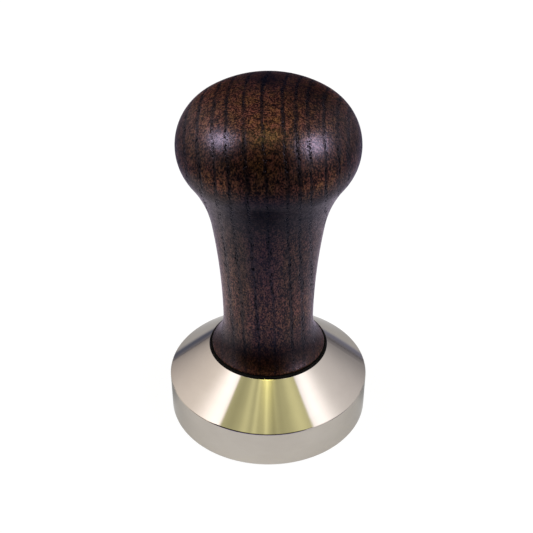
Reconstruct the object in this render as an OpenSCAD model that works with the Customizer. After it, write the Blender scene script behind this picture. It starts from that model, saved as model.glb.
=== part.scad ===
// Espresso tamper: a turned wooden handle screwed down on a solid steel base.
// Millimetres, +Z up, with the origin at the centre of the tamping face.

/* [Base] */
// Diameter of the tamping face and of the straight side wall
base_d = 53; // [49:0.1:58.5]
// Height of the straight side wall, up to the ridge
wall_h = 10.5; // [7:0.1:14]
// Height of the base, up to the rim of the gasket's recess
base_h = 19.2; // [18:0.1:26]
// Depth of the recess that the gasket lies in
recess_depth = 1; // [0.5:0.1:2]
// Rounding of the tamping face's edge
face_edge_r = 0.4; // [0.1:0.1:1]
// Rounding of the ridge between the side wall and the cone
ridge_r = 0.5; // [0.1:0.1:1.5]
// Rounding of the recess's rim
rim_r = 0.1; // [0.05:0.05:0.3]

/* [Handle] */
// Height of the handle, from the underside of its foot to its crown
handle_h = 73.2; // [62:0.1:90]
// Diameter of the knob at its widest line
knob_d = 43.2; // [39:0.1:48]
// Radius of the knob's crown
crown_r = 28.6; // [25:0.1:45]
// Radius of the knob's shoulder, above its widest line
shoulder_r = 13.2; // [9:0.1:17]
// Radius of the knob's underside, below its widest line
under_r = 12.8; // [11:0.1:15]
// Drop from the knob's widest line to the throat, where the neck begins
throat_drop = 20.6; // [18:0.1:24]
// Diameter of the throat
throat_d = 27.7; // [26:0.1:29.5]
// Diameter of the waist, where the neck is narrowest
waist_d = 23.4; // [21:0.1:25]
// Height of the waist over the underside of the foot
waist_h = 9; // [7:0.1:13]
// Diameter of the foot
foot_d = 29.75; // [28:0.05:33]
// Rounding of the foot's edge
foot_edge_r = 0.4; // [0.2:0.1:1]

/* [Gasket] */
// Thickness of the gasket
gasket_t = 1.2; // [0.6:0.1:2.5]
// Width of gasket that shows all round the foot
gasket_reveal = 0.6; // [0.2:0.05:1.5]
// Diameter of the hole in the gasket
gasket_hole_d = 20; // [17:0.5:24]
// Rounding of the gasket's edges
gasket_edge_r = 0.15; // [0.05:0.05:0.25]
// Gap between the gasket and the wall of its recess
gasket_clearance = 0.1; // [0.05:0.05:0.3]

/* [Stud] */
// Outside diameter of the stud's thread
stud_d = 8; // [6:1:10]
// Length of the stud
stud_l = 30; // [25:1:35]
// Length of the stud that is screwed into the base
stud_in_base = 12; // [9:0.5:13]
// Chamfer on both ends of the stud
stud_chamfer = 0.8; // [0.3:0.1:1.2]
// Width across the flats of the stud's hex socket
socket_af = 4; // [2.5:0.5:5]
// Depth of the hex socket
socket_depth = 4.5; // [2:0.5:6]
// Spare depth of the base's threaded hole, below the stud
hole_spare = 1; // [0.5:0.5:2]
// Radial clearance of the stud in its threaded holes
thread_clearance = 0.05; // [0.02:0.01:0.1]
// Countersink round the mouth of each threaded hole
mouth_chamfer = 0.8; // [0.3:0.1:1.2]

/* [Insert] */
// Outside diameter of the threaded insert
insert_d = 16; // [13:0.5:17]
// Length of the insert
insert_l = 20; // [14:0.5:28]
// Depth of the insert below the underside of the foot
insert_sink = 0.5; // [0.2:0.1:1.5]
// Chamfer on the insert's two outer edges
insert_chamfer = 1; // [0.3:0.1:1.5]
// Width of the insert's driving slot
slot_w = 2.4; // [1.5:0.1:3]
// Depth of the driving slot
slot_depth = 2.2; // [1:0.1:3]
// Gap for glue between the insert and the wood
glue_gap = 0.1; // [0.05:0.05:0.3]
// Radial clearance of the pilot hole round the stud
pilot_clearance = 0.5; // [0.2:0.1:1]
// Spare depth of the pilot hole, past the stud and the insert
pilot_spare = 4; // [1:0.5:8]

/* [Hidden] */
$fn = 96;

// Angle at the point of a twist drill, which every drilled hole ends in
drill_point = 118;
// Largest turn between two neighbouring points of a curved outline
turn_step = 3;
// The same for the long, nearly straight curve of the neck
neck_step = 1;
// A cut runs this far past the face that it opens
overrun = 1;

base_r = base_d / 2;
foot_r = foot_d / 2;
knob_r = knob_d / 2;
gasket_r = foot_r + gasket_reveal;
recess_r = gasket_r + gasket_clearance;
tapped_r = stud_d / 2 + thread_clearance;

// Heights over the tamping face, from the recess's floor up
recess_z = base_h - recess_depth;
foot_z = recess_z + gasket_t;
insert_z = foot_z + insert_sink;
stud_z = recess_z - stud_in_base;
stud_top_z = stud_z + stud_l;
crown_z = foot_z + handle_h;

// The handle's outline is a chain of arcs, each tangent to the next.
// The crown's centre is on the axis, and its arc runs into the shoulder's.
crown_h = crown_r - sqrt(pow(crown_r - shoulder_r, 2) - pow(knob_r - shoulder_r, 2));
widest_z = crown_z - crown_h;
crown_c = [0, crown_z - crown_r];
shoulder_c = [knob_r - shoulder_r, widest_z];
under_c = [knob_r - under_r, widest_z];

// The neck is one long hollow arc, upright at the waist.
waist = [waist_d / 2, foot_z + waist_h];
throat = [throat_d / 2, widest_z - throat_drop];
neck_r = (throat - waist) * (throat - waist) / (2 * (throat - waist).x);
neck_c = waist + [neck_r, 0];

// The throat's hollow carries the neck on into the knob's underside.
into_hollow = (neck_c - throat) / neck_r;
throat_reach = throat - under_c;
hollow_r = (throat_reach * throat_reach - pow(under_r, 2)) / (2 * (under_r - into_hollow * throat_reach));
hollow_c = throat + hollow_r * into_hollow;

// The flare runs from the waist into the rounded edge of the foot.
foot_edge_c = [foot_r - foot_edge_r, foot_z + foot_edge_r];
flare_out = foot_r - waist.x;
flare_h = waist_h - foot_edge_r;
flare_r = (pow(flare_out, 2) - 2 * foot_edge_r * flare_out + pow(flare_h, 2)) / (2 * flare_out);
flare_c = waist + [flare_r, 0];

function unit(v) = v / norm(v);

// Direction from one point to another, from 0 up to 360 degrees
function heading(from, to) = (atan2((to - from).y, (to - from).x) + 360) % 360;

// Points of an arc after its first one, which is the last point of the arc before it
function arc(centre, r, from, to, step = turn_step) =
    let (n = max(2, ceil(abs(to - from) / step)))
    [for (i = [1:n]) let (a = from + (to - from) * i / n) centre + r * [cos(a), sin(a)]];

// A corner of an outline, rounded to radius r
function corner(before, at, after, r) =
    let (
        u = unit(before - at),
        v = unit(after - at),
        half = acos(u * v) / 2,
        centre = at + unit(u + v) * r / sin(half),
        from = heading(centre, at + u * r / tan(half)),
        turn = (heading(centre, at + v * r / tan(half)) - from + 540) % 360 - 180,
        n = ceil(abs(turn) / (4 * turn_step))
    )
    [for (i = [0:n]) let (a = from + turn * i / n) centre + r * [cos(a), sin(a)]];

// An outline through [x, y, radius] corners, where a radius of 0 leaves a corner sharp
function rounded(corners) =
    let (n = len(corners), at = [for (c = corners) [c.x, c.y]])
    [for (i = [0:n - 1])
        each corners[i].z == 0
            ? [at[i]]
            : corner(at[(i + n - 1) % n], at[i], at[(i + 1) % n], corners[i].z)];

// The handle's outline in the XZ plane, from the crown down to the foot
function handle_outline() =
    let (
        crown_end = heading(crown_c, shoulder_c),
        under_end = heading(under_c, hollow_c) - 360,
        throat_at = heading(hollow_c, throat),
        flare_end = heading(flare_c, foot_edge_c)
    )
    concat(
        [[0, crown_z]],
        arc(crown_c, crown_r, 90, crown_end),
        arc(shoulder_c, shoulder_r, crown_end, 0),
        arc(under_c, under_r, 0, under_end),
        arc(hollow_c, hollow_r, under_end + 180, throat_at),
        arc(neck_c, neck_r, throat_at, 180, neck_step),
        arc(flare_c, flare_r, 180, flare_end),
        arc(foot_edge_c, foot_edge_r, flare_end - 180, -90, 4 * turn_step),
        [[0, foot_z]]
    );

// A hole drilled upwards from z = 0, with the drill's point at its end
module drilled_hole(r, depth) {
    translate([0, 0, -overrun]) cylinder(r = r, h = depth + overrun);
    translate([0, 0, depth]) cylinder(r1 = r, r2 = 0, h = r / tan(drill_point / 2));
}

// A 45 degree countersink that opens upwards at z = 0
module countersink(r, chamfer) {
    translate([0, 0, -chamfer]) cylinder(r1 = r, r2 = r + chamfer + overrun, h = chamfer + overrun);
}

// The base, turned from one bar: tamping face, side wall, cone, recess and threaded hole
module base() {
    color("silver")
    difference() {
        rotate_extrude()
            polygon(rounded([
                [0, 0, 0],
                [base_r, 0, face_edge_r],
                [base_r, wall_h, ridge_r],
                [recess_r, base_h, rim_r],
                [recess_r, recess_z, 0],
                [0, recess_z, 0],
            ]));
        translate([0, 0, recess_z]) {
            mirror([0, 0, 1]) drilled_hole(tapped_r, stud_in_base + hole_spare);
            countersink(tapped_r, mouth_chamfer);
        }
    }
}

// The set screw that joins base and handle, with its hex socket at the top
module stud() {
    stud_r = stud_d / 2;
    color("lightslategray")
    translate([0, 0, stud_z])
    difference() {
        rotate_extrude()
            polygon([
                [0, 0],
                [stud_r - stud_chamfer, 0],
                [stud_r, stud_chamfer],
                [stud_r, stud_l - stud_chamfer],
                [stud_r - stud_chamfer, stud_l],
                [0, stud_l],
            ]);
        translate([0, 0, stud_l - socket_depth])
            cylinder(d = socket_af / cos(30), h = socket_depth + overrun, $fn = 6);
    }
}

// The rubber washer between foot and base, whose edge shows as a black ring
module gasket() {
    hole_r = gasket_hole_d / 2;
    color("black")
    translate([0, 0, recess_z])
    rotate_extrude()
        polygon(rounded([
            [hole_r, 0, gasket_edge_r],
            [gasket_r, 0, gasket_edge_r],
            [gasket_r, gasket_t, gasket_edge_r],
            [hole_r, gasket_t, gasket_edge_r],
        ]));
}

// The brass insert in the handle's foot: threaded through, and slotted to be driven in from below
module insert() {
    insert_r = insert_d / 2;
    color("goldenrod")
    translate([0, 0, insert_z])
    difference() {
        rotate_extrude()
            polygon([
                [tapped_r + mouth_chamfer, 0],
                [insert_r - insert_chamfer, 0],
                [insert_r, insert_chamfer],
                [insert_r, insert_l - insert_chamfer],
                [insert_r - insert_chamfer, insert_l],
                [tapped_r, insert_l],
                [tapped_r, mouth_chamfer],
            ]);
        translate([-insert_r - overrun, -slot_w / 2, -overrun])
            cube([insert_d + 2 * overrun, slot_w, slot_depth + overrun]);
    }
}

// The wooden handle, turned in one piece and drilled for the insert and the stud
module handle() {
    insert_end_z = insert_z + insert_l;
    pilot_end_z = max(insert_end_z, stud_top_z) + pilot_spare;
    color("saddlebrown")
    difference() {
        rotate_extrude() polygon(handle_outline());
        translate([0, 0, foot_z]) {
            translate([0, 0, -overrun])
                cylinder(r = insert_d / 2 + glue_gap, h = insert_end_z - foot_z + overrun);
            drilled_hole(stud_d / 2 + pilot_clearance, pilot_end_z - foot_z);
        }
    }
}

base();
stud();
gasket();
insert();
handle();
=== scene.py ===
from math import atan2, cos, pi, radians, sin, sqrt, tan

import bpy
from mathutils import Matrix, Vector


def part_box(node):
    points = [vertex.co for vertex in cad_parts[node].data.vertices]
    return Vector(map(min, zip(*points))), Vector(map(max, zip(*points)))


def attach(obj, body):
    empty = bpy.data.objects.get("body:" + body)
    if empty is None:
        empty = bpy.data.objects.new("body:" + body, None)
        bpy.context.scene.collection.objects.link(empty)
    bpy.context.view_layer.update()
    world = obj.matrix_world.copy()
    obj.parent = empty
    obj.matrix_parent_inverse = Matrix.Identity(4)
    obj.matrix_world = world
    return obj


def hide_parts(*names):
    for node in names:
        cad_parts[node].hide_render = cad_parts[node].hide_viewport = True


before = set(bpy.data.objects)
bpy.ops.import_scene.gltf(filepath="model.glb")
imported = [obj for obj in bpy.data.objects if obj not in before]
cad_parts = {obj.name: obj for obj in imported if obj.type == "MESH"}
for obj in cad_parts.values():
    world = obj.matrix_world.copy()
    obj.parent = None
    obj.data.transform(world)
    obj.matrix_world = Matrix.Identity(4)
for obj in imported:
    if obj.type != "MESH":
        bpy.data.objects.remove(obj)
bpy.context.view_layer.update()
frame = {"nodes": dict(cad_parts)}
scene = bpy.context.scene
scene.view_settings.view_transform = "Standard"
mm = 0.001
sharpFrom = radians(32)       # edges that turn by more than this stay sharp
onAxis = 1e-9                 # a radius below this is on the axis
sameHeight = 0.0001 * mm      # points closer than this to an end are on it
print("frame loaded:", ", ".join(frame["nodes"]))


# a shader socket that takes part in Python arithmetic
class Value:
    def __init__(self, graph, socket):
        self.graph = graph
        self.socket = socket

    def maths(self, operation, first, second=0.0):
        return self.graph.node("ShaderNodeMath", {"operation": operation}, {0: first, 1: second})

    def __add__(self, other):
        return self.maths("ADD", self, other)

    def __radd__(self, other):
        return self.maths("ADD", other, self)

    def __sub__(self, other):
        return self.maths("SUBTRACT", self, other)

    def __rsub__(self, other):
        return self.maths("SUBTRACT", other, self)

    def __mul__(self, other):
        return self.maths("MULTIPLY", self, other)

    def __rmul__(self, other):
        return self.maths("MULTIPLY", other, self)

    def __truediv__(self, other):
        return self.maths("DIVIDE", self, other)

    def __rtruediv__(self, other):
        return self.maths("DIVIDE", other, self)

    def __pow__(self, other):
        return self.maths("POWER", self, other)

    def __abs__(self):
        return self.maths("ABSOLUTE", self)

    def atLeast(self, other):
        return self.maths("MAXIMUM", self, other)

    def atMost(self, other):
        return self.maths("MINIMUM", self, other)

    # 0 below low, 1 above high, eased between
    def rise(self, low, high):
        return self.graph.node(
            "ShaderNodeMapRange", {"interpolation_type": "SMOOTHSTEP"}, {0: self, 1: low, 2: high}
        )


def setStops(ramp, stops):
    ramp.interpolation = "EASE"
    while len(ramp.elements) < len(stops):
        ramp.elements.new(1.0)
    for element, (place, colour) in zip(ramp.elements, stops):
        element.position = place
        element.color = colour


# a node tree that is filled from Python
class Graph:
    def __init__(self, owner):
        owner.use_nodes = True
        self.tree = owner.node_tree
        self.tree.nodes.clear()

    # any node: its type, its settings, then the values or links of its sockets
    def node(self, kind, settings={}, sockets={}, out=0):
        made = self.tree.nodes.new(kind)
        for name, setting in settings.items():
            if name == "stops":
                setStops(made.color_ramp, setting)
            else:
                setattr(made, name, setting)
        for name, given in sockets.items():
            if isinstance(given, Value):
                self.tree.links.new(given.socket, made.inputs[name])
            else:
                made.inputs[name].default_value = given
        return Value(self, made.outputs[out]) if made.outputs else made

    def split(self, vector):
        axes = self.node("ShaderNodeSeparateXYZ", {}, {0: vector}).socket.node
        return [Value(self, axis) for axis in axes.outputs]

    def join(self, x, y, z):
        return self.node("ShaderNodeCombineXYZ", {}, {0: x, 1: y, 2: z})

    def stretch(self, vector, x, y, z):
        return self.node("ShaderNodeVectorMath", {"operation": "MULTIPLY"}, {0: vector, 1: (x, y, z)})

    def dot(self, vector, fixed):
        return self.node(
            "ShaderNodeVectorMath", {"operation": "DOT_PRODUCT"}, {0: vector, 1: fixed}, "Value"
        )

    # how far a point is from a fixed place
    def apart(self, vector, place):
        return self.node(
            "ShaderNodeVectorMath", {"operation": "DISTANCE"}, {0: vector, 1: place}, "Value"
        )

    def noise(self, vector, detail=2.0, roughness=0.5):
        return self.node(
            "ShaderNodeTexNoise", {},
            {"Vector": vector, "Scale": 1.0, "Detail": detail, "Roughness": roughness},
        )

    # noise drawn out along the grain: how many waves there are in a millimetre across and along it
    def grain(self, point, across, along, detail=3.0, roughness=0.6):
        return self.noise(self.stretch(point, across, across, along), detail, roughness)

    def mix(self, factor, first, second, blend="MIX"):
        return self.node(
            "ShaderNodeMix", {"data_type": "RGBA", "blend_type": blend},
            {0: factor, 6: first, 7: second}, 2,
        )

    # a colour at some level of its strength
    def dimmed(self, colour, level):
        return self.mix(1.0, colour, level, "MULTIPLY")

    def added(self, first, second):
        return self.mix(1.0, first, second, "ADD")

    # a grey that goes through (place, level) stops
    def along(self, place, stops):
        low, high = stops[0][0], stops[-1][0]
        grey = [((at - low) / (high - low), (level, level, level, 1)) for at, level in stops]
        return self.node("ShaderNodeValToRGB", {"stops": grey}, {0: (place - low) / (high - low)})

    def bump(self, height, depth, strength=1.0):
        return self.node(
            "ShaderNodeBump", {}, {"Strength": strength, "Distance": depth, "Height": height}
        )


def newMaterial(name):
    material = bpy.data.materials.new(name)
    return material, Graph(material)


def endMaterial(graph, shader):
    graph.node("ShaderNodeOutputMaterial", {}, {"Surface": shader})


# object coordinates in millimetres, which are the frame's own
def surfacePoint(graph):
    coords = graph.node("ShaderNodeTexCoord", {}, {}, "Object")
    return graph.stretch(coords, 1 / mm, 1 / mm, 1 / mm)


# the same point as a distance from the axis and a height
def roundAxis(graph, point):
    x, y, z = graph.split(point)
    return (x ** 2 + y ** 2) ** 0.5, z


# the studio: a cloth tent lit from either side, with a warm gap between the lamps over the camera
studio = {
    # halo: where the lamp's own light is brightest in the cloth, as azimuth and elevation
    # front: the bright middle of the lamp, close to the object, which shines in the lacquer
    "leftLamp": {
        "azimuth": -78.2, "elevation": 40, "width": 0.46, "height": 0.42, "power": 3.2,
        "cloth": (1.01, 0.93, 0.83, 1), "halo": (-70, 47),
        "front": {"place": (-0.188, -0.054, 0.232), "width": 0.050, "height": 0.085, "power": 0.64},
    },
    "rightLamp": {
        "azimuth": 64.9, "elevation": 38, "width": 0.40, "height": 0.42, "power": 3.2,
        "cloth": (0.90, 0.87, 0.83, 1), "halo": (68, 48.5),
        "front": {"place": (0.166, -0.080, 0.196), "width": 0.075, "height": 0.090, "power": 0.69},
    },
    "lampDistance": 0.9,
    "aim": (0, 0, 0.05),
    "clothEdge": (0.3, 0.68),  # how far to the side the lit cloth starts and is at its full strength
    "dim": 0.2,               # the cloth away from the lamps
    "glow": 0.95,             # facing a lamp
    "halo": 1.1,              # and where its own light comes through
    "haloTightness": 30,
    "haloColour": (1.0, 0.98, 1.0, 1),
    "frontColour": (0.897, 0.839, 1.0),
    "shade": (0.028, 0.022, 0.052, 1),
    "gapShade": (0.008, 0.005, 0.010, 1),
    "gapHalfAngle": 62,
    "gapTurn": -2,            # to the left
    "gapEdge": (0.05, 0.01),  # how softly the gap ends: radians inside and outside its half angle
    "gapSlant": 0.83,         # its right edge comes in by this for each degree below slantFrom
    "slantFrom": 48,
    "gapColour": (0.80, 0.78, 0.41, 1),
    "warmth": 0.85,           # the level of the warm cloth between its folds
    "warmFrom": (44, 50),     # the warm cloth starts between these elevations
    "warmTo": (0.95, 0.985),  # and ends between these heights on a globe of radius 1
    # folds in the warm cloth: bearing and half width in degrees, gain
    "folds": ((-3, 5, 0.42), (-34, 9, 0.30), (-20, 6, 0.36), (46, 18, 0.40), (-52, 12, -0.15),
              (8, 6, -0.22), (20, 8, -0.10)),
    # the warm light high in the gap, which shows in the gloss alone
    "bulb": {
        "azimuth": -3, "elevation": 72, "gain": 24.0, "tightness": 200, "colour": (0.80, 0.74, 0.20, 1),
    },
}


# azimuth is counted from the camera's side, positive to its right
def direction(azimuth, elevation):
    a, e = radians(azimuth), radians(elevation)
    return Vector((sin(a) * cos(e), -cos(a) * cos(e), sin(e)))


def buildWorld():
    world = bpy.data.worlds.new("studioTent")
    scene.world = world
    graph = Graph(world)
    ray = graph.node("ShaderNodeTexCoord", {}, {}, "Generated")
    x, y, z = graph.split(ray)
    bearing = graph.node("ShaderNodeMath", {"operation": "ARCTAN2"}, {0: x, 1: 0 - y})
    height = graph.node("ShaderNodeMath", {"operation": "ARCSINE"}, {0: z})

    def towards(azimuth, elevation):
        return graph.dot(ray, direction(azimuth, elevation)).atLeast(0.0)

    # the cloth at either side is brightest round its lamp
    tent = studio["shade"]
    for lamp, side in ((studio["leftLamp"], -1), (studio["rightLamp"], 1)):
        cloth = towards(lamp["azimuth"], lamp["elevation"]) * studio["glow"] + studio["dim"]
        cloth = cloth * (x * side).rise(*studio["clothEdge"])
        halo = towards(*lamp["halo"]) ** studio["haloTightness"] * studio["halo"]
        tent = graph.added(tent, graph.dimmed(lamp["cloth"], cloth))
        tent = graph.added(tent, graph.dimmed(studio["haloColour"], halo))

    # the gap between the lamps: dark at eye level, warm above, in upright folds
    half = radians(studio["gapHalfAngle"])
    inside, outside = studio["gapEdge"]
    below = (radians(studio["slantFrom"]) - height).atLeast(0.0) * studio["gapSlant"]
    swung = bearing - radians(studio["gapTurn"])
    inGap = 1 - (swung + below).rise(half - inside, half + outside)
    inGap = inGap * (swung + half).rise(-outside, inside)
    warm = studio["warmth"]
    for place, width, gain in studio["folds"]:
        warm = (1 - abs(bearing - radians(place)).rise(0.0, radians(width))) * gain + warm
    start, full = studio["warmFrom"]
    warm = warm * z.rise(sin(radians(start)), sin(radians(full))) * (1 - z.rise(*studio["warmTo"]))
    bulb = studio["bulb"]
    beam = towards(bulb["azimuth"], bulb["elevation"]) ** bulb["tightness"] * bulb["gain"]
    beam = beam * graph.node("ShaderNodeLightPath", {}, {}, "Is Glossy Ray")
    gap = graph.added(graph.dimmed(studio["gapColour"], warm), graph.dimmed(bulb["colour"], beam))
    gap = graph.added(gap, studio["gapShade"])
    seen = graph.mix(inGap, tent, gap)

    # the camera itself sees plain white behind the object
    camera = graph.node("ShaderNodeLightPath", {}, {}, "Is Camera Ray")
    shown = graph.mix(camera, seen, (1, 1, 1, 1))
    graph.node("ShaderNodeOutputWorld", {}, {
        "Surface": graph.node("ShaderNodeBackground", {}, {"Color": shown, "Strength": 1.0}),
    })


# what the fronts of the lamps shine on
lacquered = bpy.data.collections.new("lacquered")


def addLamp(name, place, spec):
    lamp = bpy.data.lights.new(name, "AREA")
    lamp.shape = "RECTANGLE"
    lamp.size = spec["width"]
    lamp.size_y = spec["height"]
    lamp.energy = spec["power"]
    holder = bpy.data.objects.new(name, lamp)
    holder.location = place
    holder.rotation_euler = (place - Vector(studio["aim"])).to_track_quat("Z", "Y").to_euler()
    scene.collection.objects.link(holder)
    return holder


# each lamp lights the object, and its front shines in the lacquer alone
def buildLamp(name):
    spec = studio[name]
    away = direction(spec["azimuth"], spec["elevation"])
    wide = addLamp(name, away * studio["lampDistance"] + Vector(studio["aim"]), spec)
    wide.visible_glossy = False
    front = addLamp(name + "Front", Vector(spec["front"]["place"]), spec["front"])
    front.data.color = studio["frontColour"]
    front.visible_diffuse = False
    front.visible_camera = False
    front.light_linking.receiver_collection = lacquered


floorSheet = {
    "halfWidth": 1.5,
    "drop": 0.0002,           # under the tamping face, so that the two never fight
    "colour": (0.75, 0.75, 0.75, 1),
    "white": 0.93,            # the part of its white that no shadow reaches
    "shadowed": (0.12, 0.12, 0.12, 1),
    # what steel and lacquer mirror, painted light and shade on the sheet that shows only in mirrors: the
    # sheet to the left and right of the base, behind it, just in front of it, and then far behind and far
    # in front
    "leftMirrored": (0.60, 0.575, 0.505, 1),
    "rightMirrored": (0.44, 0.435, 0.445, 1),
    "behindMirrored": (0.355, 0.35, 0.35, 1),
    "aheadMirrored": (0.50, 0.465, 0.76, 1),
    "backLeftMirrored": (0.155, 0.172, 0.25, 1),
    "backRightMirrored": (0.30, 0.315, 0.43, 1),
    "horizonMirrored": (0.30, 0.30, 0.36, 1),
    "frontMirrored": (0.07, 0.07, 0.125, 1),
    # the sheet close round the base, from its front to its back, darker towards the back as a painted
    # shadow
    "closeMirrored": ((-0.036, 0.42), (-0.027, 0.435), (-0.017, 0.47), (-0.007, 0.48), (0.002, 0.27),
                      (0.02, 0.27)),
    # where each of these gives way to the next, in metres
    "leftToRight": (-0.04, 0.03),
    "frontToBack": (-0.012, 0.018),
    "frontLevel": 0.78,       # of the sheet at either side, in front
    "backGain": 0.24,         # and how much brighter it is at the back
    "closeEdge": (0.038, 0.050),
    "aheadAt": (-0.008, -0.058, 0),
    "aheadEdge": (0.020, 0.045),
    "behindEdge": (0.02, 0.045),
    "farLeftToRight": (-0.08, 0.08),
    "farFrontToBack": (-0.08, 0.06),
    "horizonEdge": (0.13, 0.45),
    "litFrom": (0.004, 0.012, 0),  # the middle of the lit patch, which is wider than deep
    "litWidth": 1.5,
    "litEdge": (0.068, 0.125),
}


def buildFloor():
    s = floorSheet
    half = s["halfWidth"]
    drop = -s["drop"]
    corners = [(-half, -half, drop), (half, -half, drop), (half, half, drop), (-half, half, drop)]
    mesh = bpy.data.meshes.new("floorSheet")
    mesh.from_pydata(corners, [], [(0, 1, 2, 3)])
    sheet = bpy.data.objects.new("floorSheet", mesh)
    scene.collection.objects.link(sheet)
    material, graph = newMaterial("whitePaper")
    path = graph.node("ShaderNodeLightPath").socket.node
    camera = Value(graph, path.outputs["Is Camera Ray"])
    glossy = Value(graph, path.outputs["Is Glossy Ray"])
    through = Value(graph, path.outputs["Is Transmission Ray"])
    inMirror = glossy.atLeast(through)

    # in a mirror the sheet darkens outwards, painted shade where the tent no longer lights it
    point = graph.node("ShaderNodeNewGeometry", {}, {}, "Position")
    x, y = graph.split(point)[:2]
    fromMiddle = graph.apart(point, (0, 0, 0))
    narrowed = graph.stretch(point, 1 / s["litWidth"], 1, 1)
    far = graph.apart(narrowed, s["litFrom"]).rise(*s["litEdge"])
    outside = fromMiddle.rise(*s["closeEdge"])
    ahead = (1 - graph.apart(point, s["aheadAt"]).rise(*s["aheadEdge"])) * outside
    around = graph.mix(x.rise(*s["leftToRight"]), s["leftMirrored"], s["rightMirrored"])
    around = graph.dimmed(around, y.rise(*s["frontToBack"]) * s["backGain"] + s["frontLevel"])
    near = graph.mix(outside, graph.along(y, s["closeMirrored"]), around)
    near = graph.mix(y.rise(*s["behindEdge"]), near, s["behindMirrored"])
    near = graph.mix(ahead, near, s["aheadMirrored"])
    back = graph.mix(x.rise(*s["farLeftToRight"]), s["backLeftMirrored"], s["backRightMirrored"])
    back = graph.mix(fromMiddle.rise(*s["horizonEdge"]), back, s["horizonMirrored"])
    outer = graph.mix(y.rise(*s["farFrontToBack"]), s["frontMirrored"], back)
    mirrored = graph.mix(far, near, outer)
    # where it counts as lit, the sheet glows in mirrors with these tones: painted light
    lit = (1 - far) * (1 - ahead) * inMirror
    white = (s["white"], s["white"], s["white"], 1)
    glow = graph.mix(camera, graph.dimmed(mirrored, lit), white)
    light = graph.node("ShaderNodeEmission", {}, {"Color": glow, "Strength": 1.0})
    tint = graph.mix(camera, graph.mix(inMirror, s["colour"], mirrored), s["shadowed"])
    paper = graph.node("ShaderNodeBsdfDiffuse", {}, {"Color": tint})
    sheetFront = graph.node("ShaderNodeAddShader", {}, {0: light, 1: paper})
    under = graph.node("ShaderNodeNewGeometry", {}, {}, "Backfacing")
    clear = graph.node("ShaderNodeBsdfTransparent")
    endMaterial(graph, graph.node("ShaderNodeMixShader", {}, {0: under, 1: sheetFront, 2: clear}))
    mesh.materials.append(material)


viewpoint = {
    "place": (-0.00046, -0.1822, 0.1638),
    "pitchDown": 33.54,
    "lens": 58.5,
    "sensor": 36,
}


def buildCamera():
    data = bpy.data.cameras.new("camera")
    data.lens = viewpoint["lens"]
    data.sensor_width = viewpoint["sensor"]
    holder = bpy.data.objects.new("camera", data)
    holder.location = viewpoint["place"]
    holder.rotation_euler = (radians(90 - viewpoint["pitchDown"]), 0, 0)
    scene.collection.objects.link(holder)
    scene.camera = holder


buildWorld()
buildLamp("leftLamp")
buildLamp("rightLamp")
buildFloor()
buildCamera()
print("studio, floor and camera set")


def newPiece(name, points, faces, material, body, node):
    mesh = bpy.data.meshes.new(name)
    mesh.from_pydata(points, [], faces)
    mesh.validate()
    mesh.materials.append(material)
    mesh.polygons.foreach_set("use_smooth", [True] * len(mesh.polygons))
    mesh.set_sharp_from_angle(angle=sharpFrom)
    piece = bpy.data.objects.new(name, mesh)
    scene.collection.objects.link(piece)
    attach(piece, body)
    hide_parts(node)
    return piece


# a closed solid of revolution from (radius, height) points that start and end on the axis
def turned(outline, segments):
    points = []
    rings = []
    for r, z in outline:
        count = segments if r > onAxis else 1
        rings.append([len(points) + i for i in range(count)])
        for i in range(count):
            a = 2 * pi * i / segments
            points.append((r * cos(a), r * sin(a), z))
    faces = []
    for upper, lower in zip(rings, rings[1:]):
        for i in range(segments):
            k = (i + 1) % segments
            corners = [upper[i % len(upper)], lower[i % len(lower)]]
            corners += [lower[k % len(lower)], upper[k % len(upper)]]
            faces.append(list(dict.fromkeys(corners)))
    return points, [f for f in faces if len(f) > 2]


def arc(centre, radius, start, end, step):
    count = max(2, int(abs(end - start) / step) + 1)
    angles = [start + (end - start) * i / count for i in range(1, count + 1)]
    return [centre + radius * Vector((cos(a), sin(a))) for a in angles]


def bearingOf(start, end):
    return atan2(end.y - start.y, end.x - start.x)


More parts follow.
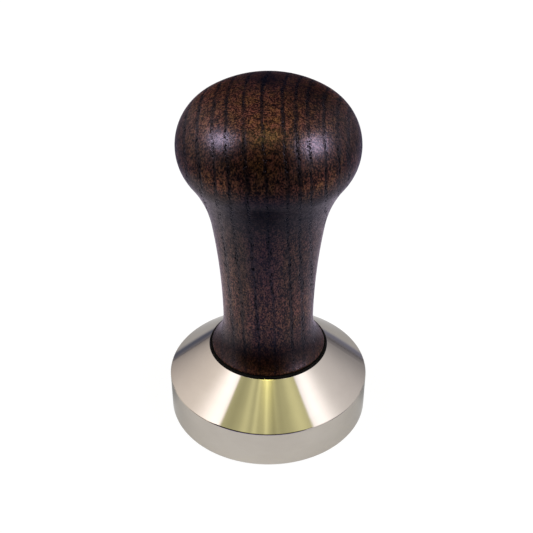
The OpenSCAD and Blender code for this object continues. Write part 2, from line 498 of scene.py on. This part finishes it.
# dark stained ash, turned and lacquered
ash = {
    "pith": (100.6, -13.5, 0),  # the heart of the tree, in millimetres from the handle's axis
    "lean": 0.049,            # the grain runs this far sideways for each millimetre up
    # where each year's line stands across the handle
    "lines": (-17.0, -13.5, -10.3, -6.9, -4.0, -0.2, 3.8, 8.2, 11.0, 13.5, 17.0, 20.0, 22.3, 25.4),
    "lineEdge": (0.17, 0.62),  # half a line: to where it starts to fade and where it ends
    "earlyEdge": (0.3, 1.3),  # and the same for the open wood round it
    "wandering": 0.7,         # millimetres that a line strays slowly
    "rippling": 1.3,          # and quickly
    "faintest": 0.6,          # how much there is of a line where it is weakest
    "faintEdge": (0.3, 0.6),
    # patterns: waves in a millimetre across and along the grain, detail, roughness
    "patterns": {
        "wander": (0.05, 0.035, 2.0, 0.5),
        "ripple": (0.5, 0.25, 2.0, 0.5),
        "fading": (0.5, 0.30, 2.0, 0.5),
        "fleck": (3.0, 2.0, 3.0, 0.65),
        "blotch": (1.1, 0.7, 2.0, 0.6),
        "fibre": (2.5, 0.12, 3.0, 0.6),
        "hue": (0.45, 0.25, 3.0, 0.6),
    },
    "vessels": (2.5, 2.5, 0.95),  # in a millimetre
    "bore": {"line": 0.42, "early": 0.05},  # what line and open wood add to a vessel's bore
    "leastBore": 0.09,
    "boreEdge": (0.6, 1.0),
    "tone": {"fleck": 0.85, "blotch": 0.3, "fibre": 0.2},
    "toneEdge": (0.59, 0.83),
    "hueEdge": (0.30, 0.70),
    # stain has filled the grain of the foot, up to between these heights
    "filledTo": (22, 28),
    "filledLine": 0.4,        # how much of a line it hides
    "filledFleck": 0.3,       # and of the flecks
    "filledTone": 0.38,
    "lineCover": 0.95,
    "poreCover": 0.9,
    "red": (0.212, 0.071, 0.049, 1),
    "gold": (0.196, 0.085, 0.032, 1),
    "dark": (0.0040, 0.0018, 0.0022, 1),
    "early": (0.010, 0.0055, 0.0050, 1),
    "pore": (0.0008, 0.0006, 0.0010, 1),
    # how much of its colour the stain leaves, from the foot to the crown: partly the stain and partly
    # painted shade, darkest in the hollow under the knob and at the crown's top
    "stainAndShade": ((19.4, 0.55), (20.2, 0.40), (21, 0.22), (22.5, 0.16), (24, 0.11), (25.5, 0.17), (29, 0.42),
              (33, 0.66), (36, 0.68), (44, 0.52), (56, 0.35), (62, 0.16), (66, 0.06), (70, 0.05),
              (72, 0.10), (74, 0.26), (76.5, 0.38), (79, 0.26), (81.5, 0.22), (84, 0.29), (85.5, 0.43),
              (87, 0.76), (89.5, 0.95), (91, 0.74), (92.2, 0.58), (92.6, 0.12)),
    # uneven staining, and painted light and shade: the brighter patches are painted light on the knob's
    # and neck's sides, the darker ones partly painted shade each gives the middle of a patch, how far it
    # reaches, and how much of the colour it leaves
    "patches": (((11, -5, 90), 14, 0.25), ((-12, -5, 90.5), 11, 0.75), ((0, 17, 91), 30, 0.05),
                ((-16, -12, 82.5), 9, 1.9), ((14, -14, 82), 9, 1.6), ((6.5, -18, 81), 8, 1.25),
                ((-10, -17, 76), 7, 2.7), ((10, -17.5, 76.5), 7.5, 2.4),
                ((-10, -7, 46), 12, 1.4), ((-4, -11.5, 51), 9, 0.6), ((10, -8, 46), 11, 0.6),
                ((0, -13.5, 22), 8, 0.65)),
    # a painted blue reflection, added to the wood's colour, mostly in the hollow under the knob
    "paintedBlueSheen": (0.0, 0.0022, 0.0075, 1),
    "paintedSheenHeights": ((19.4, 0.0), (22.5, 0.05), (25.5, 0.45), (50, 0.4), (60, 0.7), (64, 1.0), (70, 1.0),
                (74, 0.3), (77, 0.0), (88, 0.0), (91, 0.22), (92.6, 0.55)),
    # relief of the surface: what stands up and what is sunk
    "relief": {"fibre": 0.2, "fleck": 0.5, "blotch": 0.2, "line": -0.2, "pore": -0.8},
    "reliefDepth": 0.12 * mm,
    "reliefStrength": 0.6,
    "roughness": 0.5,
    "fleckRoughness": 0.2,
    "lacquer": (1.0, 0.90, 1.09, 1),
    "lacquerRoughness": 0.30,
    "lacquerIndex": 1.5,
    "lacquerCover": {"bright": 0.4, "pore": -0.5},  # what light flecks and pores change in it
    "lacquerEven": 0.53,
    # how much of the lacquer is left, from the foot to the crown
    "lacquered": ((19.4, 0.48), (22, 0.62), (24.5, 0.85), (28, 0.87), (60, 0.87), (66, 0.82), (70, 0.76),
                  (73, 0.70), (76, 0.72), (79, 0.70), (82, 0.55), (85, 0.54), (88, 0.50), (90.5, 0.32),
                  (92.6, 0.28)),
    # and where hands have worn it
    "worn": (((0, -14, 66), 16, 0.45), ((-1, -13, 22), 11, 0.2), ((0, -21, 81.5), 11.5, 0.45),
             ((12, 0, 90), 9, 0.5), ((-12, 0, 90.3), 9, 0.5)),
}


def buildAsh():
    material, graph = newMaterial("stainedAsh")
    point = surfacePoint(graph)
    z = graph.split(point)[2]
    wood = {name: graph.grain(point, *spec) for name, spec in ash["patterns"].items()}

    def blended(weights):
        return sum(wood[name] * weight for name, weight in weights.items())

    # growth rings: cylinders round a far pith, with a slight wander along the grain
    fromPith = graph.apart(graph.stretch(point, 1, 1, 0), ash["pith"])
    across = Vector(ash["pith"]).length - fromPith + z * ash["lean"]
    across = across + (wood["wander"] - 0.5) * ash["wandering"] + (wood["ripple"] - 0.5) * ash["rippling"]
    near = abs(across - ash["lines"][0])
    for place in ash["lines"][1:]:
        near = near.atMost(abs(across - place))
    faintest = ash["faintest"]
    strength = wood["fading"].rise(*ash["faintEdge"]) * (1 - faintest) + faintest
    filled = 1 - z.rise(*ash["filledTo"])
    wood["line"] = (1 - near.rise(*ash["lineEdge"])) * strength * (1 - filled * ash["filledLine"])
    wood["early"] = 1 - near.rise(*ash["earlyEdge"])

    # vessels: thin tubes along the grain, wide and crowded in each year's line
    cells = graph.node(
        "ShaderNodeTexVoronoi", {"feature": "F1"},
        {"Vector": graph.stretch(point, *ash["vessels"]), "Scale": 1.0, "Randomness": 1.0}, "Distance",
    )
    bore = blended(ash["bore"]) + ash["leastBore"]
    wood["pore"] = 1 - (cells / bore).rise(*ash["boreEdge"])

    # between the lines: flecks, fibre streaks and slow changes of tone and hue
    bright = blended(ash["tone"]).rise(*ash["toneEdge"])
    wood["bright"] = bright + (ash["filledTone"] - bright) * filled * ash["filledFleck"]
    light = graph.mix(wood["hue"].rise(*ash["hueEdge"]), ash["red"], ash["gold"])
    tint = graph.mix(wood["bright"], ash["dark"], light)
    tint = graph.mix(wood["line"] * ash["lineCover"], tint, ash["early"])
    tint = graph.mix(wood["pore"] * ash["poreCover"], tint, ash["pore"])

    def within(patches, level):
        for place, reach, kept in patches:
            level = level * ((1 - graph.apart(point, place).rise(0.0, reach)) * (kept - 1) + 1)
        return level

    # the stain with painted light and shade, along the height and in patches
    left = within(ash["patches"], graph.along(z, ash["stainAndShade"]))
    # the painted blue reflection, added to the wood's colour along the height
    paintedBlueSheen = graph.dimmed(ash["paintedBlueSheen"], graph.along(z, ash["paintedSheenHeights"]))
    tint = graph.added(graph.dimmed(tint, left), paintedBlueSheen)

    lacquer = within(ash["worn"], graph.along(z, ash["lacquered"]))
    normal = graph.bump(blended(ash["relief"]), ash["reliefDepth"], ash["reliefStrength"])
    stained = graph.node("ShaderNodeBsdfPrincipled", {}, {
        "Base Color": tint,
        "Roughness": wood["fleck"] * ash["fleckRoughness"] + ash["roughness"],
        "Specular IOR Level": 0.0,
        "Normal": normal,
    })
    gloss = graph.node("ShaderNodeBsdfGlossy", {}, {
        "Color": ash["lacquer"],
        "Roughness": ash["lacquerRoughness"],
        "Normal": normal,
    })
    mirrored = graph.node("ShaderNodeFresnel", {}, {"IOR": ash["lacquerIndex"], "Normal": normal})
    share = mirrored * lacquer * (blended(ash["lacquerCover"]) + ash["lacquerEven"])
    endMaterial(graph, graph.node("ShaderNodeMixShader", {}, {0: share, 1: stained, 2: gloss}))
    return material


# the handle's outline: arcs that run into one another, from the crown to the foot
handleShape = {
    "crownRadius": 28.6 * mm,
    "shoulderRadius": 13.2 * mm,
    "underRadius": 12.8 * mm,
    "throatDrop": 20.6 * mm,   # from the widest line down to the start of the neck
    "throatWidth": 27.7 * mm,
    "waistWidth": 23.4 * mm,
    "waistHeight": 9.0 * mm,
    "footWidth": 29.75 * mm,
    "footEdge": 0.4 * mm,
    "glueGap": 0.1 * mm,
    "pilotGap": 0.5 * mm,
    "pilotSpare": 4.0 * mm,
    "drillPoint": 118,        # degrees
    "fineStep": 1.2,          # degrees between the points of the wider arcs
    "segments": 256,
}


def handleOutline():
    s = handleShape
    low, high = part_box("handle")
    footZ, crownZ, knobRadius = low.z, high.z, high.x
    crownR, shoulderR, underR = s["crownRadius"], s["shoulderRadius"], s["underRadius"]

    widestZ = crownZ - crownR + sqrt((crownR - shoulderR) ** 2 - (knobRadius - shoulderR) ** 2)
    crownC = Vector((0, crownZ - crownR))
    shoulderC = Vector((knobRadius - shoulderR, widestZ))
    underC = Vector((knobRadius - underR, widestZ))

    waist = Vector((s["waistWidth"] / 2, footZ + s["waistHeight"]))
    throat = Vector((s["throatWidth"] / 2, widestZ - s["throatDrop"]))
    neckR = (throat - waist).length_squared / (2 * (throat.x - waist.x))
    neckC = waist + Vector((neckR, 0))

    inward = (neckC - throat) / neckR
    reach = throat - underC
    hollowR = (reach.length_squared - underR ** 2) / (2 * (underR - inward.dot(reach)))
    hollowC = throat + inward * hollowR

    edge, footR = s["footEdge"], s["footWidth"] / 2
    edgeC = Vector((footR - edge, footZ + edge))
    spread, fall = footR - waist.x, s["waistHeight"] - edge
    flareR = (spread ** 2 - 2 * edge * spread + fall ** 2) / (2 * spread)
    flareC = waist + Vector((flareR, 0))

    fine = radians(s["fineStep"])
    crownEnd = bearingOf(crownC, shoulderC)
    underEnd = bearingOf(underC, hollowC)
    throatAt = bearingOf(hollowC, throat)
    flareEnd = bearingOf(flareC, edgeC) + 2 * pi
    outline = [Vector((0, crownZ))]
    outline += arc(crownC, crownR, pi / 2, crownEnd, fine)
    outline += arc(shoulderC, shoulderR, crownEnd, 0, 2 * fine)
    outline += arc(underC, underR, 0, underEnd, 2 * fine)
    outline += arc(hollowC, hollowR, underEnd + pi, throatAt, fine)
    outline += arc(neckC, neckR, throatAt, pi, fine / 4)
    outline += arc(flareC, flareR, pi, flareEnd, 2 * fine)
    outline += arc(edgeC, edge, flareEnd - pi, -pi / 2, 6 * fine)

    # drilled from below for the insert and, deeper, for the end of the stud
    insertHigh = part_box("insert")[1]
    boreR = insertHigh.x + s["glueGap"]
    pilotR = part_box("stud")[1].x + s["pilotGap"]
    pilotZ = insertHigh.z + s["pilotSpare"]
    outline += [Vector((boreR, footZ)), Vector((boreR, insertHigh.z)), Vector((pilotR, insertHigh.z))]
    outline += [Vector((pilotR, pilotZ))]
    outline += [Vector((0, pilotZ + pilotR / tan(radians(s["drillPoint"] / 2))))]
    return outline


def buildHandle():
    points, faces = turned(handleOutline(), handleShape["segments"])
    piece = newPiece("ashHandle", points, faces, buildAsh(), "handle", "handle")
    lacquered.objects.link(piece)
    return piece


buildHandle()
print("handle turned")


# polished stainless steel, with the finest of turning lines left in it
steel = {
    "colour": (0.560, 0.520, 0.480, 1),
    "haze": (0.535, 0.495, 0.455, 1),
    "edgeTint": (0.70, 0.70, 0.70, 1),
    "smears": (0.09, 0.16),   # in a millimetre, across and along the axis
    "hazeEdge": (0.35, 0.7),
    "roughness": 0.055,
    "lineRoughness": 0.02,
    "smearRoughness": 0.02,
    "smearEdge": (0.45, 0.75),
    "stretched": 0.45,        # how far the lines draw out what the steel mirrors
    "lineSpacing": 0.11,      # millimetres between turning lines
    "lineDepth": 0.00006 * mm,
}


def buildSteel():
    material, graph = newMaterial("polishedSteel")
    point = surfacePoint(graph)
    radius, z = roundAxis(graph, point)

    # the tool's feed goes round the axis, so the lines depend on radius and height alone
    feed = graph.join(radius / steel["lineSpacing"], z / steel["lineSpacing"], 0.0)
    lines = graph.noise(feed, 2.0, 0.6)
    smear = graph.grain(point, *steel["smears"])
    dull = smear.rise(*steel["smearEdge"]) * steel["smearRoughness"]
    shader = graph.node("ShaderNodeBsdfPrincipled", {}, {
        "Base Color": graph.mix(smear.rise(*steel["hazeEdge"]), steel["colour"], steel["haze"]),
        "Metallic": 1.0,
        "Specular Tint": steel["edgeTint"],
        "Roughness": lines * steel["lineRoughness"] + dull + steel["roughness"],
        "Anisotropic": steel["stretched"],
        "Normal": graph.bump(lines, steel["lineDepth"]),
    })
    endMaterial(graph, shader)
    return material


# matt black rubber with a cut, slightly grainy edge
rubber = {
    "colour": (0.0025, 0.0025, 0.0028, 1),
    "worn": (0.006, 0.006, 0.0065, 1),
    "grains": 5.0,            # in a millimetre
    "dust": 0.8,
    "dustEdge": (0.5, 0.8),
    "roughness": 0.7,
    "grainRoughness": 0.2,
    "gloss": 0.12,
    "grainDepth": 0.02 * mm,
    "grainStrength": 0.7,
}


def buildRubber():
    material, graph = newMaterial("blackRubber")
    point = surfacePoint(graph)
    grain = graph.grain(point, rubber["grains"], rubber["grains"])
    dust = graph.grain(point, rubber["dust"], rubber["dust"])
    shader = graph.node("ShaderNodeBsdfPrincipled", {}, {
        "Base Color": graph.mix(dust.rise(*rubber["dustEdge"]), rubber["colour"], rubber["worn"]),
        "Roughness": grain * rubber["grainRoughness"] + rubber["roughness"],
        "Specular IOR Level": rubber["gloss"],
        "Normal": graph.bump(grain, rubber["grainDepth"], rubber["grainStrength"]),
    })
    endMaterial(graph, shader)
    return material


frame["nodes"]["base"].material_slots[0].material = buildSteel()
frame["nodes"]["gasket"].material_slots[0].material = buildRubber()
print("base polished, gasket blackened")


# plain machined metal, with lines left round it by the tool
machined = {
    "lines": 14.0,            # in a millimetre
    "patches": 0.35,
    "patchEdge": (0.4, 0.75),
    "patchRoughness": 0.12,
    "lineRoughness": 0.08,
    "lineDepth": 0.004 * mm,
}


def buildMachined(name, spec):
    material, graph = newMaterial(name)
    point = surfacePoint(graph)
    radius, z = roundAxis(graph, point)
    lines = graph.noise(graph.join(radius * machined["lines"], z * machined["lines"], 0.0))
    patch = graph.grain(point, machined["patches"], machined["patches"])
    rough = patch * machined["patchRoughness"] + lines * machined["lineRoughness"]
    shader = graph.node("ShaderNodeBsdfPrincipled", {}, {
        "Base Color": graph.mix(patch.rise(*machined["patchEdge"]), spec["colour"], spec["stained"]),
        "Metallic": 1.0,
        "Roughness": rough + spec["roughness"],
        "Normal": graph.bump(lines, machined["lineDepth"]),
    })
    endMaterial(graph, shader)
    return material


# a 60 degree thread: the share of its depth left at a place between two crests
def threadForm(turn):
    crest, flank = 1 / 16, 5 / 16  # half of a crest's flat, and a flank, in pitches
    fromCrest = abs(turn % 1.0 - 0.5)
    return min(max((fromCrest - crest) / flank, 0.0), 1.0)


# a helical skin between two heights, as a grid that climbs one pitch a round
# trim gives the radius that the chamfers at the ends leave
def threadSkin(points, low, high, pitch, radiusAt, trim, segments, rows=16):
    ends = []
    for z in (low, high):
        ends.append([len(points) + i for i in range(segments)])
        for i in range(segments):
            a = 2 * pi * i / segments
            points.append((trim(z) * cos(a), trim(z) * sin(a), z))
    grid = {}

    def at(i, j):
        if i == segments:
            i, j = 0, j + rows
        z = low + pitch * (j / rows + i / segments)
        if z <= low + sameHeight:
            return ends[0][i]
        if z >= high - sameHeight:
            return ends[1][i]
        if (i, j) not in grid:
            grid[i, j] = len(points)
            a = 2 * pi * i / segments
            r = radiusAt(j / rows, z)
            points.append((r * cos(a), r * sin(a), z))
        return grid[i, j]

    faces = []
    for j in range(-rows, int((high - low) / pitch * rows) + 2):
        for i in range(segments):
            corners = list(dict.fromkeys([at(i, j), at(i + 1, j), at(i + 1, j + 1), at(i, j + 1)]))
            if len(corners) > 2:
                faces.append(corners)
    return faces, ends


# a ring of points at a height, whose radius may change with the angle
def addRing(points, segments, z, radiusAt):
    start = len(points)
    for i in range(segments):
        a = 2 * pi * i / segments
        points.append((radiusAt(a) * cos(a), radiusAt(a) * sin(a), z))
    return [start + i for i in range(segments)]


def bridge(lower, upper):
    count = len(lower)
    return [[lower[i], lower[(i + 1) % count], upper[(i + 1) % count], upper[i]] for i in range(count)]


def fan(ring, centre):
    return [[ring[i], ring[(i + 1) % len(ring)], centre] for i in range(len(ring))]


# the M8 thread that joins base and handle
thread = {
    "pitch": 1.25 * mm,
    "depth": 0.767 * mm,
    "play": 0.06 * mm,        # between the stud's thread and the insert's
    "segments": 96,
}

studShape = {
    "chamfer": 0.8 * mm,
    "socketFlats": 4.0 * mm,
    "socketDepth": 4.5 * mm,
    "socketTip": 0.6 * mm,    # the drill's point under the socket
    "colour": (0.46, 0.46, 0.47, 1),
    "stained": (0.34, 0.335, 0.33, 1),
    "roughness": 0.22,
}


def buildStud():
    low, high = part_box("stud")
    r, n = high.x, thread["segments"]
    chamfer = studShape["chamfer"]

    def trim(z):
        return r - max(chamfer - min(z - low.z, high.z - z), 0.0)

    def radiusAt(turn, z):
        return min(r - thread["depth"] * threadForm(turn), trim(z))

    points = []
    faces, ends = threadSkin(points, low.z, high.z, thread["pitch"], radiusAt, trim, n)

    # six flats, with a corner every sixty degrees from the X axis
    def flats(a):
        return studShape["socketFlats"] / 2 / cos((a % (pi / 3)) - pi / 6)

    mouth = addRing(points, n, high.z, flats)
    floor = addRing(points, n, high.z - studShape["socketDepth"], flats)
    faces += bridge(ends[1], mouth)
    faces += bridge(mouth, floor)
    points.append((0, 0, high.z - studShape["socketDepth"] - studShape["socketTip"]))
    faces += fan(floor, len(points) - 1)
    points.append((0, 0, low.z))
    faces += [f[::-1] for f in fan(ends[0], len(points) - 1)]
    metal = buildMachined("studSteel", studShape)
    return newPiece("threadedStud", points, faces, metal, "base", "stud")


insertShape = {
    "chamfer": 1.0 * mm,
    "countersink": 0.8 * mm,
    "crestCut": 0.09 * mm,    # left off the crests of the inner thread
    "slotWidth": 2.4 * mm,
    "slotDepth": 2.2 * mm,
    "slotOverrun": 1.0 * mm,
    "woodPitch": 3.0 * mm,
    "woodDepth": 0.9 * mm,
    "colour": (0.66, 0.47, 0.20, 1),
    "stained": (0.50, 0.33, 0.13, 1),
    "roughness": 0.24,
}


def buildInsert():
    low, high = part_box("insert")
    r, n = high.x, thread["segments"]
    studLow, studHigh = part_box("stud")
    root = studHigh.x + thread["play"]
    crest = root - thread["depth"] + insertShape["crestCut"]
    points = []

    # inside: the stud's own helix, so the two stay in mesh as the handle turns
    def openTo(z):
        return root + max(insertShape["countersink"] - min(z - low.z, high.z - z), 0.0)

    offset = (low.z - studLow.z) / thread["pitch"]

    def inner(turn, z):
        hollow = max(root - thread["depth"] * threadForm(turn + offset), crest)
        return max(hollow, openTo(z) if openTo(z) > root else 0.0)

    inside, insideEnds = threadSkin(points, low.z, high.z, thread["pitch"], inner, openTo, n)

    # outside: a coarse thread that bites into the wood
    def trim(z):
        return r - max(insertShape["chamfer"] - min(z - low.z, high.z - z), 0.0)

    def outer(turn, z):
        return min(r - insertShape["woodDepth"] * threadForm(turn), trim(z))

    outside, outsideEnds = threadSkin(points, low.z, high.z, insertShape["woodPitch"], outer, trim, n)
    faces = outside + [f[::-1] for f in inside]
    faces += bridge(outsideEnds[1], insideEnds[1])
    faces += bridge(insideEnds[0], outsideEnds[0])
    metal = buildMachined("insertBrass", insertShape)
    piece = newPiece("brassInsert", points, faces, metal, "handle", "insert")
    cutSlot(piece, low.z, r)
    return piece


# the driving slot across the lower end
def cutSlot(piece, z, r):
    half, depth = insertShape["slotWidth"] / 2, insertShape["slotDepth"]
    over = insertShape["slotOverrun"]
    around = ((-1, -1), (1, -1), (1, 1), (-1, 1))
    corners = [(x * (r + over), y * half, z + rise) for rise in (-over, depth) for x, y in around]
    sides = [(3, 2, 1, 0), (4, 5, 6, 7), (0, 1, 5, 4), (1, 2, 6, 5), (2, 3, 7, 6), (3, 0, 4, 7)]
    mesh = bpy.data.meshes.new("slotCutter")
    mesh.from_pydata(corners, [], sides)
    cutter = bpy.data.objects.new("slotCutter", mesh)
    scene.collection.objects.link(cutter)
    cut = piece.modifiers.new("slot", "BOOLEAN")
    cut.operation = "DIFFERENCE"
    cut.solver = "EXACT"
    cut.object = cutter
    shaped = piece.evaluated_get(bpy.context.evaluated_depsgraph_get())
    result = bpy.data.meshes.new_from_object(shaped)
    piece.modifiers.clear()
    piece.data = result
    result.set_sharp_from_angle(angle=sharpFrom)
    bpy.data.objects.remove(cutter)


buildStud()
buildInsert()
print("stud and insert threaded")
